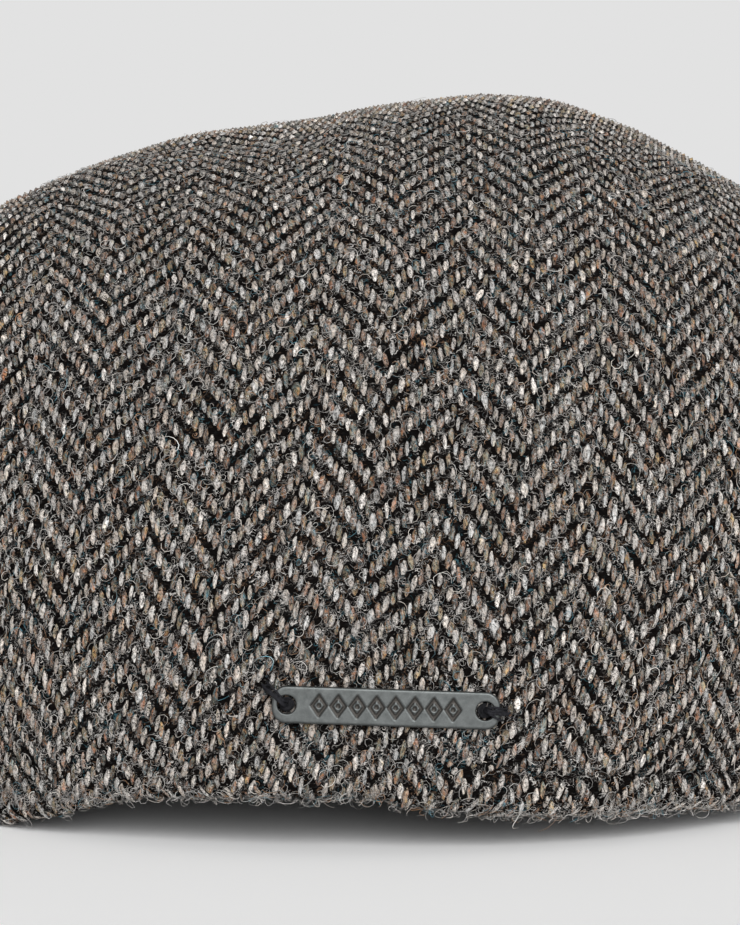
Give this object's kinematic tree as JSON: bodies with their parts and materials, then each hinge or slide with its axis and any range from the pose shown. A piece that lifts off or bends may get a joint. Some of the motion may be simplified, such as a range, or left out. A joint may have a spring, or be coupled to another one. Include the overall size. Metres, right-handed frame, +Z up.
{
  "type": "flat cap",
  "caption": "Flat cap of herringbone tweed with a short peak and a small sewn-on metal bar at the back, standing on its hem.",
  "frame": {"origin": "on the surface that the cap stands on, under the middle of its outline seen from above", "axes": "+Z up, +Y towards the back of the cap, -Y the way the peak points, +X the wearer's left"},
  "size_m": [0.1938, 0.2604, 0.1128],
  "materials": {
    "top_tweed": "fuzzy wool herringbone tweed, ecru and mixed yarns over charcoal",
    "side_tweed": "fuzzy wool herringbone tweed",
    "peak_tweed": "fuzzy wool herringbone tweed, stretched over the peak",
    "pewter": "antique pewter, finely brushed and mottled, bright at the edges",
    "black_thread": "waxed black thread"
  },
  "bodies": {
    "root": {"top_panel": "top_tweed", "side_panel_left": "side_tweed", "side_panel_right": "side_tweed", "peak": "peak_tweed", "name_tag": "pewter", "thread_tie_left": "black_thread", "thread_tie_right": "black_thread"}
  },
  "joints": []
}
